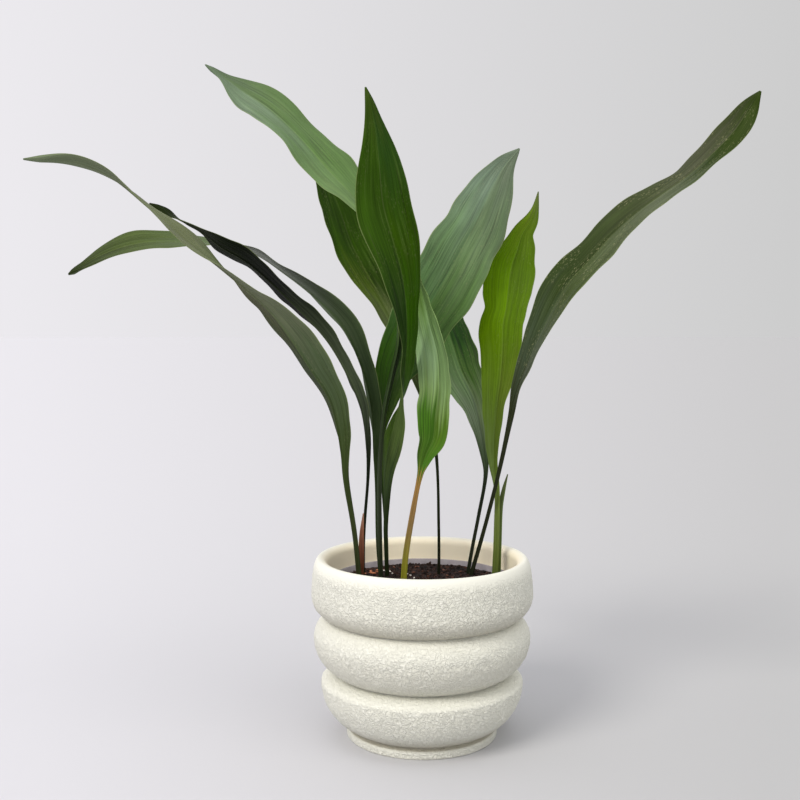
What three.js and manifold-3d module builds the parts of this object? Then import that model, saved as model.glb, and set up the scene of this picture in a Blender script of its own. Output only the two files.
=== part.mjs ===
// Potted cast iron plant (Aspidistra elatior): a bubble-shaped ceramic planter that holds a
// plastic nursery pot of soil, with eleven leaves that each rise from the soil on their own stalk.
// Millimetres, +Z up. The origin is the centre of the planter's underside. -Y is the front.
import * as THREE from 'three';
import { mergeVertices } from 'three/addons/utils/BufferGeometryUtils.js';
import Module from 'manifold-3d';

const wasm = await Module();
wasm.setup();

// ---- driving dimensions -------------------------------------------------------------------

const potHeight = 161;
const footRadius = 68;
const footHeight = 7;
const footBevel = 1.5;
const potFloor = 14;
const potSides = 44;

// The planter's rings, from the foot up: the crease below (r, z), the widest line (r, z)
// and the crease above (r, z). The top ring ends in the crest of the lip. creaseSpan is the
// angle of the arc between a crease and the widest line, so that rings meet in an open groove.
const rings = [
  { below: [63, 9], widest: [91.5, 49], above: [74, 57] },
  { below: [74, 57], widest: [98, 90], above: [84.5, 108] },
  { below: [84.5, 108], widest: [100, 128], above: [92.3, potHeight] },
];
const creaseSpan = 72;
const lipInnerRadius = 85;
const lipDrop = 7;
// The planter's inner wall below the lip, from the top down, as [r, z].
const innerWall = [[84.5, 140], [79.6, 108], [69.5, 57], [65.5, 24], [62, potFloor]];

const nurseryTop = 141;
const nurserySides = 40;
const plasticWall = 1.6;
const rimStep = 3;

const soilTop = 136;
const soilRings = 14;
const soilSectors = 44;
const crumbHeight = 1.6;
const seatGap = 0.3;
const soilWallGap = 0.4;
const stalkClearance = 1;

const rootDepth = 110;
const bladeHalfThickness = 0.42;
const stalkHalfWidth = 2.7;
const flatHalfWidth = 8;
const stalkRings = 6;
const bladeRings = 25;
const sheathRings = 8;

// ---- shared helpers -----------------------------------------------------------------------

const radians = THREE.MathUtils.degToRad;
const { lerp, smoothstep } = THREE.MathUtils;

/** Quarter of an ellipse, as [r, z] points, from one axis end to the other. */
function quarter([centreR, centreZ], [semiR, semiZ], fromDegrees, steps) {
  const points = [];
  for (let i = 1; i <= steps; i += 1) {
    const angle = radians(fromDegrees + (90 * i) / steps);
    points.push([centreR + semiR * Math.cos(angle), centreZ + semiZ * Math.sin(angle)]);
  }
  return points;
}

/** Solid of revolution about Z from [r, z] points that start and end on the axis. */
function turned(profile, sides) {
  const points = profile.map(([r, z]) => new THREE.Vector2(r, z));
  return new THREE.LatheGeometry(points, sides).rotateX(Math.PI / 2);
}

/** Mesh of a closed grid of points: positions as Vector3, faces as index triples. */
function facets(positions, faces) {
  const geometry = new THREE.BufferGeometry();
  const flat = positions.flatMap((point) => point.toArray());
  geometry.setAttribute('position', new THREE.Float32BufferAttribute(flat, 3));
  geometry.setIndex(faces.flat());
  geometry.computeVertexNormals();
  return geometry;
}

function toSolid(geometry) {
  const bare = geometry.clone();
  bare.deleteAttribute('normal');
  bare.deleteAttribute('uv');
  const merged = mergeVertices(bare, 1e-4);
  const vertProperties = new Float32Array(merged.attributes.position.array);
  const triVerts = new Uint32Array(merged.index.array);
  return new wasm.Manifold(new wasm.Mesh({ numProp: 3, vertProperties, triVerts }));
}

function toGeometry(solid) {
  const { vertProperties, triVerts } = solid.getMesh();
  const geometry = new THREE.BufferGeometry();
  geometry.setAttribute('position', new THREE.Float32BufferAttribute(vertProperties, 3));
  geometry.setIndex([...triVerts]);
  geometry.computeVertexNormals();
  return geometry;
}

function part(name, geometry, material) {
  const mesh = new THREE.Mesh(geometry, material);
  mesh.name = name;
  return mesh;
}

// ---- planter ------------------------------------------------------------------------------

const glazedIvory = new THREE.MeshStandardMaterial({ color: 0xe9e8d6, roughness: 0.55 });

/** Arc of an ellipse from a crease to the widest line of a ring, as [r, z], both included. */
function halfRing(crease, widest, spanDegrees, steps) {
  const span = radians(spanDegrees);
  const across = (widest[0] - crease[0]) / (1 - Math.cos(span));
  const upright = (crease[1] - widest[1]) / Math.sin(span);
  const points = [];
  for (let i = 0; i <= steps; i += 1) {
    const angle = span * (1 - i / steps);
    points.push([
      widest[0] - across * (1 - Math.cos(angle)),
      widest[1] + upright * Math.sin(angle),
    ]);
  }
  return points;
}

/** One ring: a tall lower arc out to the widest line, then a short arc back in. */
function bulge({ below, widest, above }, stepsBelow, stepsAbove, topSpan) {
  return [
    ...halfRing(below, widest, creaseSpan, stepsBelow).slice(1),
    ...halfRing(above, widest, topSpan, stepsAbove).reverse().slice(1),
  ];
}

function planter() {
  const crest = rings[2].above[0];
  const profile = [
    [0, 0],
    [footRadius - footBevel, 0],
    [footRadius, footBevel],
    [footRadius, footHeight],
    rings[0].below,
    ...bulge(rings[0], 6, 3, creaseSpan),
    ...bulge(rings[1], 5, 4, creaseSpan),
    ...bulge(rings[2], 4, 5, 90),
    ...quarter([crest, potHeight - lipDrop], [crest - lipInnerRadius, lipDrop], 90, 4),
    ...innerWall,
    [0, potFloor],
  ];
  return part('pot', turned(profile, potSides), glazedIvory);
}

// ---- nursery pot --------------------------------------------------------------------------

const greyPlastic = new THREE.MeshStandardMaterial({ color: 0x8f8790, roughness: 0.6 });

// The inner wall, from the rim down, as [r, z].
const nurseryMouth = [81.4, nurseryTop];
const nurseryShoulder = [79.4, 131];
const nurseryHeel = [58.4, potFloor + seatGap + plasticWall];

function nurseryPot() {
  const base = potFloor + seatGap;
  const profile = [
    [0, base],
    [nurseryHeel[0] + plasticWall, base],
    [nurseryShoulder[0] + plasticWall, nurseryShoulder[1]],
    [nurseryMouth[0] + plasticWall, nurseryShoulder[1] + rimStep],
    [nurseryMouth[0] + plasticWall, nurseryTop],
    nurseryMouth,
    nurseryShoulder,
    nurseryHeel,
    [0, nurseryHeel[1]],
  ];
  return part('nursery_pot', turned(profile, nurserySides), greyPlastic);
}

// ---- leaves -------------------------------------------------------------------------------
//
// A leaf is one grown piece: a channelled stalk that widens into a long waved blade.
// Each row is [x, y, z, half width, turn]: a point of the midrib, half the width there, and
// how far the leaf is turned about the midrib, in degrees, from facing the front. The first
// row is the foot in the soil. neck is the row where the blade starts, fold is how far each
// half is raised at the blade's base, middle and tip in degrees, and wave is the edge's
// height in mm, its number of waves and its phase.

const leaves = {
  // Lowest leaf on the left, which reaches furthest forward and turns its underside to the front.
  leaf_front_left: {
    colour: 0x5c6a4c, neck: 3, fold: [20, 5, 5], wave: [1.6, 3.5, 0.4],
    rows: [
      [-51, -12, rootDepth, 2.6, -90], [-55, -13, 137, 2.6, -90], [-60, -15, 186, 2.5, -95],
      [-67, -20, 231, 3.4, -110], [-70, -25, 258, 8, -117], [-74, -33, 285, 15.5, -119],
      [-80, -42, 307, 22, -120], [-93, -52, 329, 27.5, -121], [-109, -66, 356, 30.5, -120],
      [-124, -82, 378, 30, -111], [-143, -96, 397, 28, -103], [-161, -107, 413, 26, -94],
      [-185, -120, 433, 24, -78], [-212, -131, 458, 20, -89], [-239, -140, 480, 14.5, -105],
      [-268, -147, 490, 6.5, -118], [-299, -152, 490, 0.5, -115],
    ],
  },
  // Dark leaf on the left, between the lowest one and the drooping one.
  leaf_left: {
    colour: 0x2a3520, neck: 4, fold: [20, 5, 4], wave: [1.4, 3, 1.1],
    rows: [
      [-54, 0, rootDepth, 1.9, -90], [-53, -1, 136, 1.8, -90], [-52, -2, 183, 1.6, -95],
      [-48, -4, 239, 1.7, -100], [-49, -8, 276, 4, -108], [-58, -14, 309, 11.5, -112],
      [-81, -21, 353, 20.5, -108], [-111, -28, 386, 25, -106], [-146, -36, 419, 27, -107],
      [-172, -42, 435, 22, -107], [-187, -46, 447, 16, -97], [-206, -52, 457, 9, -90],
      [-216, -55, 463, 5, -62], [-228, -58, 469, 0.5, -60],
    ],
  },
  // Long leaf that arches over to the left and droops at its tip.
  leaf_left_drooping: {
    colour: 0x47603a, neck: 4, fold: [20, 5, 4], wave: [1.5, 3.5, 2.2],
    rows: [
      [-35, 12, rootDepth, 2.1, -100], [-37, 12, 134, 2, -100], [-40, 12, 173, 1.9, -110],
      [-41, 10, 228, 2, -120], [-42, 6, 261, 4, -125], [-45, 0, 299, 12.5, -123],
      [-53, -1, 331, 19.5, -114], [-70, 0, 367, 26, -109], [-96, 6, 394, 29, -103],
      [-123, 13, 415, 30, -95], [-149, 17, 432, 30, -91], [-180, 16, 441, 29, -81],
      [-228, 8, 443, 26, -71], [-255, 1, 440, 22.5, -59], [-280, -6, 431, 15.5, -53],
      [-310, -14, 412, 0.5, -50],
    ],
  },
  // Tallest leaf, leaning to the back left.
  leaf_tall: {
    colour: 0x6f9058, neck: 5, fold: [25, 8, 5], wave: [1.6, 3.5, 0.9],
    rows: [
      [-36, -12, rootDepth, 2.2, -40], [-37, -14, 135, 2.2, -40], [-38, -18, 188, 2.1, -45],
      [-38, -21, 237, 2.1, -50], [-34, -20, 290, 2.2, -55], [-27, -13, 325, 3, -58],
      [-21, -12, 353, 4.5, -60], [-22, -9, 380, 9, -60], [-30, -2, 410, 14, -58],
      [-40, 11, 451, 21.5, -58], [-60, 26, 482, 26, -54], [-87, 42, 512, 29, -46],
      [-116, 62, 546, 29, -52], [-144, 76, 573, 26, -45], [-172, 88, 593, 16.5, -35],
      [-191, 96, 608, 6.5, -45], [-209, 102, 621, 0.5, -50],
    ],
  },
  // Upright leaf in the middle, twisted half round above its stalk.
  leaf_middle: {
    colour: 0x32520f, neck: 3, fold: [20, 4, 3], wave: [1.2, 3, 0.2],
    rows: [
      [-31, 34, rootDepth, 2.1, -120], [-32, 26, 140, 2, -120], [-33, 15, 180, 2.1, -122],
      [-32, 4, 211, 3.2, -126], [-32, -6, 240, 8, -130], [-28, -12, 263, 11, -142],
      [-23, -17, 283, 11.5, -122], [-18, -21, 305, 12, -91], [-16, -24, 325, 12.5, -71],
      [-14, -32, 355, 15.5, -64], [-15, -40, 385, 19, -51], [-19, -47, 414, 22, -37],
      [-28, -54, 446, 24, -24], [-34, -58, 469, 24.3, -15], [-37, -63, 501, 18.5, -14],
      [-40, -67, 527, 9.8, -20], [-44, -70, 546, 4.6, -20], [-48, -72, 561, 0.5, -20],
    ],
  },
  // Broad leaf that faces the front and leans to the right.
  leaf_broad: {
    colour: 0x5f8450, neck: 4, fold: [30, 8, 5], wave: [1.5, 3.5, 1.6],
    rows: [
      [-31, 48, rootDepth, 2, -10], [-32, 44, 134, 1.9, -10], [-33, 36, 178, 1.8, -10],
      [-36, 25, 226, 1.9, -10], [-37, 15, 269, 3.4, -12], [-32, 11, 301, 11, -14],
      [-25, 12, 331, 21, -14], [-9, 17, 361, 28.5, -12], [9, 22, 389, 31, -10],
      [23, 28, 412, 31.5, -8], [36, 33, 436, 31.5, -6], [51, 42, 463, 28, -5],
      [65, 52, 493, 21.5, -5], [77, 60, 516, 11.5, -5], [93, 68, 535, 0.5, -5],
    ],
  },
  // Young short leaf in front of the others, on a tan stalk.
  leaf_young: {
    colour: 0x6f9048, neck: 4, fold: [25, 20, 20], wave: [0.8, 2.5, 0.5],
    rows: [
      [-19, -24, rootDepth, 3, 0], [-17, -24, 136, 3, 0], [-15, -24, 165, 2.9, 0],
      [-9, -25, 203, 2.7, 0], [-2, -27, 239, 3, 5], [3, -28, 256, 8.5, 10],
      [9, -28, 270, 13, 15], [11, -27, 290, 16, 24], [14, -25, 316, 19, 40],
      [13, -22, 342, 21, 50], [6, -17, 371, 21, 58], [1, -12, 392, 18, 60],
      [-7, -6, 418, 11, 60], [-13, 0, 443, 0.5, 60],
    ],
  },
  // Dark leaf at the back, leaning away to the left.
  leaf_back: {
    colour: 0x34500f, neck: 4, fold: [25, 10, 8], wave: [1.3, 3, 1.9],
    rows: [
      [15, 29, rootDepth, 1.6, -30], [16, 30, 135, 1.5, -30], [16, 32, 179, 1.4, -30],
      [14, 38, 245, 1.6, -32], [7, 46, 284, 3.4, -36], [-4, 56, 317, 7.5, -38],
      [-18, 68, 355, 13.5, -38], [-35, 80, 390, 19, -38], [-53, 92, 421, 23, -38],
      [-69, 104, 452, 25, -38], [-81, 116, 487, 23, -38], [-94, 126, 519, 14.5, -38],
      [-112, 136, 547, 0.5, -38],
    ],
  },
  // Short leaf at the back right, leaning furthest back.
  leaf_back_short: {
    colour: 0x35561c, neck: 4, fold: [25, 8, 6], wave: [1.2, 3, 0.7],
    rows: [
      [42, 36, rootDepth, 2, 10], [44, 37, 136, 1.9, 10], [48, 39, 160, 1.8, 10],
      [54, 42, 190, 1.8, 10], [61, 48, 228, 2.2, 12], [60, 56, 251, 5, 14],
      [57, 68, 275, 9.5, 14], [52, 80, 298, 16, 14], [40, 96, 325, 21, 14],
      [33, 112, 349, 21.5, 14], [26, 128, 373, 17.5, 14], [23, 140, 391, 11, 14],
      [18, 150, 405, 0.5, 14],
    ],
  },
  // Upright bright leaf on the right, folded along its midrib near the stalk.
  leaf_right: {
    colour: 0x50740c, neck: 3, fold: [30, 10, 6], wave: [1.3, 3, 2.6],
    rows: [
      [64, 16, rootDepth, 3.2, 35], [68, 18, 136, 3.4, 35], [70, 21, 187, 3, 38],
      [70, 25, 218, 2.8, 40], [67, 27, 245, 6, 42], [67, 28, 263, 9.5, 42],
      [70, 31, 298, 14.5, 42], [73, 34, 321, 18.5, 40], [75, 38, 349, 22, 34],
      [76, 42, 370, 23.5, 29], [79, 45, 384, 21, 25], [81, 49, 398, 23.5, 20],
      [85, 56, 424, 23.5, 15], [91, 61, 441, 17, 12], [96, 66, 455, 10.5, 10],
      [104, 71, 467, 7.5, 10], [109, 76, 479, 3.6, 10], [113, 84, 497, 0.4, 10],
    ],
  },
  // Long leaf that reaches to the front right, with its edge to the front.
  leaf_front_right: {
    colour: 0x445436, neck: 5, fold: [30, 8, 6], wave: [1.5, 3.5, 1.3],
    rows: [
      [42, 26, rootDepth, 2.1, 30], [46, 26, 135, 2.1, 30], [54, 22, 166, 2, 35],
      [62, 18, 198, 1.9, 40], [71, 10, 239, 2, 45], [80, -1, 288, 3, 50],
      [85, -7, 314, 6.5, 56], [93, -12, 336, 12, 59], [104, -18, 363, 18, 56],
      [123, -27, 401, 23.5, 59], [141, -33, 422, 25, 60], [160, -40, 444, 26, 61],
      [178, -46, 461, 25.5, 66], [198, -53, 476, 24, 72], [217, -60, 490, 22, 70],
      [233, -66, 505, 17.5, 58], [252, -72, 526, 13, 38], [262, -76, 543, 8, 22],
      [270, -80, 556, 0.5, 20],
    ],
  },
};

// Sheaths: dry or green scales that stand at the foot of a stalk, shaped like small blades.
const sheaths = {
  sheath_brown: {
    colour: 0x8a4a38, neck: 0, fold: [25, 25, 20], wave: [0, 1, 0],
    rows: [
      [-55, -7, 122, 2.2, 0], [-55, -7, 137, 2.8, 0], [-54.5, -7, 160, 2.9, 0],
      [-54, -7, 182, 2.2, 0], [-52.5, -7, 201, 0.5, 0],
    ],
  },
  sheath_green: {
    colour: 0x6a7a35, neck: 0, fold: [25, 25, 20], wave: [0, 1, 0],
    rows: [
      [70, 23, 122, 2.2, 35], [71, 24, 137, 2.8, 35], [72, 26, 165, 2.8, 35],
      [73.5, 28.5, 200, 2.4, 35], [76.5, 30, 217, 1.8, 35], [80, 31, 231, 0.5, 35],
    ],
  },
};

/** Share of the midrib's length at which each row lies, by straight distance. */
function rowShares(rows) {
  const lengths = [0];
  for (let i = 1; i < rows.length; i += 1) {
    const step = Math.hypot(...[0, 1, 2].map((axis) => rows[i][axis] - rows[i - 1][axis]));
    lengths.push(lengths[i - 1] + step);
  }
  return lengths.map((length) => length / lengths.at(-1));
}

/** Smooth row at share t: a cubic through the rows, with central differences as slopes. */
function rowAt(rows, shares, t) {
  const last = rows.length - 1;
  const i = Math.min(shares.filter((share) => share <= t).length, last) - 1;
  const slope = (k, column) => {
    const before = Math.max(k - 1, 0);
    const after = Math.min(k + 1, last);
    return (rows[after][column] - rows[before][column]) / (shares[after] - shares[before]);
  };
  const span = shares[i + 1] - shares[i];
  const a = (t - shares[i]) / span;
  return rows[i].map((value, column) => (
    (1 + 2 * a) * (1 - a) ** 2 * value
    + a * (1 - a) ** 2 * span * slope(i, column)
    + a * a * (3 - 2 * a) * rows[i + 1][column]
    - a * a * (1 - a) * span * slope(i + 1, column)
  ));
}

/** Value of a [base, middle, tip] triple at share q of the blade. */
function alongBlade([base, middle, tip], q) {
  return q < 0.5 ? lerp(base, middle, 2 * q) : lerp(middle, tip, 2 * q - 1);
}

// Step along the midrib, as a share of its length, over which its direction is taken.
const nearby = 0.002;

// The keel under the midrib fades from the blade's base to its tip. The waves of the two edges
// are out of step by edgeLag radians each way, and blades narrower than fullWaveHalfWidth wave
// less. Nothing is thinner than thinnest, measured from the middle surface.
const keelAtBase = 1.6;
const keelAtTip = 0.1;
const edgeLag = 0.9;
const fullWaveHalfWidth = 12;
const thinnest = 0.35;

// The five points across a leaf: their place from edge to edge, and the half thickness that
// a stalk has there above and below its middle surface, as a share of its half width.
const across = [-1, -0.5, 0, 0.5, 1];
const stalkAbove = [0.3, 0.62, 0.7, 0.62, 0.3];
const stalkBelow = [0.3, 0.82, 1, 0.82, 0.3];

/** Upper and lower points of one cross section, at share t of the midrib's length. */
function section(leaf, shares, t) {
  const [x, y, z, halfWidth, turn] = rowAt(leaf.rows, shares, t);
  const ahead = rowAt(leaf.rows, shares, Math.min(t + nearby, 1));
  const behind = rowAt(leaf.rows, shares, Math.max(t - nearby, 0));
  const along = new THREE.Vector3(...ahead.slice(0, 3)).sub(new THREE.Vector3(...behind.slice(0, 3)));
  along.normalize();
  const side = new THREE.Vector3(0, 1, 0).cross(along).normalize();
  const face = side.clone().cross(along);
  const angle = radians(turn);
  const turnedSide = side.clone().multiplyScalar(Math.cos(angle)).addScaledVector(face, Math.sin(angle));
  const turnedFace = face.clone().multiplyScalar(Math.cos(angle)).addScaledVector(side, -Math.sin(angle));

  const neck = shares[leaf.neck];
  const q = Math.max((t - neck) / (1 - neck), 0);
  const fold = radians(alongBlade(leaf.fold, q));
  const [height, count, phase] = leaf.wave;
  const flatness = smoothstep(halfWidth, stalkHalfWidth, flatHalfWidth);
  const stalkRadius = Math.min(halfWidth, stalkHalfWidth);
  const keel = lerp(keelAtBase, keelAtTip, q) * flatness;

  return across.map((u, column) => {
    const waving = u * u * Math.min(halfWidth / fullWaveHalfWidth, 1) * flatness;
    const wave = height * Math.sin(2 * Math.PI * count * q + phase + edgeLag * Math.sign(u));
    const lift = halfWidth * Math.abs(u) * Math.sin(fold) + wave * waving;
    const middle = new THREE.Vector3(x, y, z)
      .addScaledVector(turnedSide, halfWidth * u * Math.cos(fold))
      .addScaledVector(turnedFace, lift);
    const roundAbove = Math.max(stalkRadius * stalkAbove[column], thinnest);
    const roundBelow = Math.max(stalkRadius * stalkBelow[column], thinnest);
    const above = lerp(roundAbove, bladeHalfThickness, flatness);
    const below = lerp(roundBelow, bladeHalfThickness, flatness) + (u === 0 ? keel : 0);
    return {
      upper: middle.clone().addScaledVector(turnedFace, above),
      lower: middle.clone().addScaledVector(turnedFace, -below),
    };
  });
}

/** Closed skin over a run of cross sections. Both faces are split the same way. */
function loft(sections) {
  const columns = across.length;
  const positions = sections.flatMap((points) => [
    ...points.map((point) => point.upper),
    ...points.map((point) => point.lower),
  ]);
  const upper = (ring, column) => ring * 2 * columns + column;
  const lower = (ring, column) => upper(ring, column) + columns;
  const lastRing = sections.length - 1;
  const lastColumn = columns - 1;
  const faces = [];
  for (let i = 0; i < lastRing; i += 1) {
    for (let j = 0; j < lastColumn; j += 1) {
      faces.push([upper(i, j), upper(i, j + 1), upper(i + 1, j + 1)]);
      faces.push([upper(i, j), upper(i + 1, j + 1), upper(i + 1, j)]);
      faces.push([lower(i, j), lower(i + 1, j + 1), lower(i, j + 1)]);
      faces.push([lower(i, j), lower(i + 1, j), lower(i + 1, j + 1)]);
    }
    faces.push([lower(i, lastColumn), lower(i + 1, lastColumn), upper(i + 1, lastColumn)]);
    faces.push([lower(i, lastColumn), upper(i + 1, lastColumn), upper(i, lastColumn)]);
    faces.push([lower(i, 0), upper(i + 1, 0), lower(i + 1, 0)]);
    faces.push([lower(i, 0), upper(i, 0), upper(i + 1, 0)]);
  }
  for (let j = 0; j < lastColumn; j += 1) {
    faces.push([lower(0, j), lower(0, j + 1), upper(0, j + 1)]);
    faces.push([lower(0, j), upper(0, j + 1), upper(0, j)]);
    faces.push([lower(lastRing, j), upper(lastRing, j + 1), lower(lastRing, j + 1)]);
    faces.push([lower(lastRing, j), upper(lastRing, j), upper(lastRing, j + 1)]);
  }
  return facets(positions, faces);
}

/** A leaf or sheath: rings spread along the stalk, then closer ones along the blade. */
function blade(name, leaf, ringsBelowNeck, ringsAboveNeck) {
  const shares = rowShares(leaf.rows);
  const neck = shares[leaf.neck];
  const stops = [];
  for (let i = 0; i < ringsBelowNeck; i += 1) {
    stops.push((neck * i) / ringsBelowNeck);
  }
  for (let i = 0; i <= ringsAboveNeck; i += 1) {
    stops.push(lerp(neck, 1, i / ringsAboveNeck));
  }
  const skin = loft(stops.map((t) => section(leaf, shares, t)));
  const material = new THREE.MeshStandardMaterial({ color: leaf.colour, roughness: 0.5 });
  return part(name, skin, material);
}

// ---- soil ---------------------------------------------------------------------------------

const darkSoil = new THREE.MeshStandardMaterial({ color: 0x2e1c16, roughness: 0.95 });

// Pairs of crossed waves that make the crumbs: strength, then the radians per mm in x and in y
// and the phase of each wave of the pair.
const crumbWaves = [
  { strength: 1, first: [0.31, 0.17, 0], second: [-0.11, 0.23, 1] },
  { strength: 0.6, first: [0.71, -0.37, 2], second: [0.31, 0.59, 0] },
];
const crumbFade = 6;

/** Height of the crumbs at a point: the crossed waves, faded out towards the pot's wall. */
function crumbs(x, y, edgeShare) {
  const wave = ([alongX, alongY, phase]) => Math.sin(alongX * x + alongY * y + phase);
  const relief = crumbWaves.reduce(
    (sum, { strength, first, second }) => sum + strength * wave(first) * wave(second),
    0,
  );
  return crumbHeight * relief * (1 - edgeShare ** crumbFade);
}

/** Soil fills the nursery pot to its inner wall, less a small gap. */
function soilBody() {
  const wallSlope = (nurseryMouth[0] - nurseryShoulder[0]) / (nurseryMouth[1] - nurseryShoulder[1]);
  const edge = nurseryShoulder[0] + wallSlope * (soilTop - nurseryShoulder[1]) - soilWallGap;
  const base = nurseryHeel[1] + seatGap;
  const positions = [new THREE.Vector3(0, 0, soilTop + crumbs(0, 0, 0))];
  const ringPoints = (radius, height) => {
    for (let k = 0; k < soilSectors; k += 1) {
      const angle = (2 * Math.PI * k) / soilSectors;
      const x = radius * Math.cos(angle);
      const y = radius * Math.sin(angle);
      positions.push(new THREE.Vector3(x, y, height(x, y)));
    }
  };
  for (let i = 1; i <= soilRings; i += 1) {
    const share = i / soilRings;
    ringPoints(edge * share, (x, y) => soilTop + crumbs(x, y, share));
  }
  ringPoints(nurseryShoulder[0] - soilWallGap, () => nurseryShoulder[1]);
  ringPoints(nurseryHeel[0] - soilWallGap, () => base);
  positions.push(new THREE.Vector3(0, 0, base));

  const bands = soilRings + 2;
  const index = (ring, k) => 1 + (ring - 1) * soilSectors + (k % soilSectors);
  const bottom = positions.length - 1;
  const faces = [];
  for (let k = 0; k < soilSectors; k += 1) {
    faces.push([0, index(1, k), index(1, k + 1)]);
    for (let ring = 1; ring < bands; ring += 1) {
      faces.push([index(ring, k), index(ring + 1, k), index(ring + 1, k + 1)]);
      faces.push([index(ring, k), index(ring + 1, k + 1), index(ring, k + 1)]);
    }
    faces.push([index(bands, k), bottom, index(bands, k + 1)]);
  }
  return toSolid(facets(positions, faces));
}

// A stalk's hole is cut from well above the soil, and it has few sides.
const holeAbove = 20;
const holeSides = 12;

/** Straight blind hole round the foot of a stalk, along the stalk's lowest stretch. */
function stalkHole({ rows }) {
  const foot = new THREE.Vector3(...rows[0].slice(0, 3));
  const next = new THREE.Vector3(...rows[1].slice(0, 3));
  const along = next.clone().sub(foot).normalize();
  const radius = Math.max(rows[0][3], rows[1][3]) + stalkClearance;
  const length = (soilTop + holeAbove - foot.z) / along.z;
  const start = foot.clone().addScaledVector(along, -seatGap);
  const hole = new THREE.CylinderGeometry(radius, radius, length, holeSides);
  hole.applyQuaternion(new THREE.Quaternion().setFromUnitVectors(new THREE.Vector3(0, 1, 0), along));
  const middle = start.addScaledVector(along, length / 2);
  return toSolid(hole.translate(middle.x, middle.y, middle.z));
}

function soil() {
  const holes = [...Object.values(leaves), ...Object.values(sheaths)].map(stalkHole);
  const body = holes.reduce((solid, hole) => solid.subtract(hole), soilBody());
  return part('soil', toGeometry(body), darkSoil);
}

// ---- assembly -----------------------------------------------------------------------------

const group = new THREE.Group();
group.add(planter(), nurseryPot(), soil());
for (const [name, leaf] of Object.entries(leaves)) {
  group.add(blade(name, leaf, stalkRings, bladeRings));
}
for (const [name, sheath] of Object.entries(sheaths)) {
  group.add(blade(name, sheath, 0, sheathRings));
}

export default group;
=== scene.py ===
"""Potted cast iron plant: the finish of a ring-shaped ceramic planter, the plastic pot and soil
inside it, and eleven leaves and two sheaths that rise from the soil. Sizes are in millimetres
until a mesh is made."""

import bpy
import numpy as np
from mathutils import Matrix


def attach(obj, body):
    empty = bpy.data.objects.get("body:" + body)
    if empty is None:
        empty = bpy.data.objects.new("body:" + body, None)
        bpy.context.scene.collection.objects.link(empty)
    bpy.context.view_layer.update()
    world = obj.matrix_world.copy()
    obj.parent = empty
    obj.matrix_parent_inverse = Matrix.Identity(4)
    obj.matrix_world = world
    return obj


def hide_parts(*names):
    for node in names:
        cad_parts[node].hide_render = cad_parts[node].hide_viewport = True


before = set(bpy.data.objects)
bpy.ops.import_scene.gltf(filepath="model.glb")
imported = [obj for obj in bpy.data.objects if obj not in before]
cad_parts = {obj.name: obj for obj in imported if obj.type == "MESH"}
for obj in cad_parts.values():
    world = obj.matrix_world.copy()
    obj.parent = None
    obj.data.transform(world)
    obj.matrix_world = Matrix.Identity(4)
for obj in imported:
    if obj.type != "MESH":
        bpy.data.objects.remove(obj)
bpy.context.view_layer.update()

# ---- Planter ------------------------------------------------------------------------------
# A slip-cast ceramic planter: three bulging rings on a short foot, with a rounded lip.
# The outside has a crinkled matt glaze. The lip and the inner wall are wiped smooth.
# It stands freely on its foot.

MM = 0.001
POT_HEIGHT = 161
POT_FLOOR = 14
POT_SIDES = 500
FOOT_RADIUS, FOOT_HEIGHT, FOOT_BEVEL = 68, 7, 1.5
# For each ring, from the foot up: crease below, widest line and crease above, as (r, z).
RINGS = [
    ((63, 9), (91.5, 49), (74, 57)),
    ((74, 57), (98, 90), (84.5, 108)),
    ((84.5, 108), (100, 128), (92.3, POT_HEIGHT)),
]
CREASE_SPAN = 72
LIP_INNER_RADIUS, LIP_DROP = 85, 7
# The inner wall from the lip down: each point as (r, z), and the steps that lead to it.
INNER_WALL = [
    ((LIP_INNER_RADIUS, POT_HEIGHT - LIP_DROP), 0), ((84.5, 140), 6), ((79.6, 108), 5),
    ((69.5, 57), 5), ((65.5, 24), 4), ((62, POT_FLOOR), 2), ((6, POT_FLOOR), 5),
]
# The glaze wavers a little by hand, and crinkles as it dries. For each size of crinkle: how
# many go round the planter, and how high one is. They fade out over FADE towards both ends.
GLAZE_WAVINESS = 0.12
CRINKLE_SIZES, CRINKLE_DEPTH = ((150, 3.8), (205, 2.8)), 0.5
RELIEF_LOW, RELIEF_HIGH, FADE = 10, POT_HEIGHT - 8, 10


def srgb(colour):
    """Linear RGBA from a #rrggbb hex string: each channel is undone from its sRGB curve."""
    value = np.array([int(colour[i:i + 2], 16) for i in (1, 3, 5)]) / 255
    linear = np.where(value <= 0.04045, value / 12.92, ((value + 0.055) / 1.055) ** 2.4)
    return (*linear.tolist(), 1.0)


def add(tree, kind, inputs=(), **settings):
    """Adds a node with its settings. inputs maps sockets to values, or to outputs to link."""
    made = tree.nodes.new("ShaderNode" + kind)
    for key, value in settings.items():
        setattr(made, key, value)
    for key, value in dict(inputs).items():
        if isinstance(value, bpy.types.NodeSocket):
            tree.links.new(value, made.inputs[key])
        else:
            made.inputs[key].default_value = value
    return made


def new_material(name):
    """Empty material with its output node: (material, node tree, surface socket)."""
    material = bpy.data.materials.new(name)
    material.use_nodes = True
    material.node_tree.nodes.clear()
    output = add(material.node_tree, "OutputMaterial")
    return material, material.node_tree, output.inputs["Surface"]


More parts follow.
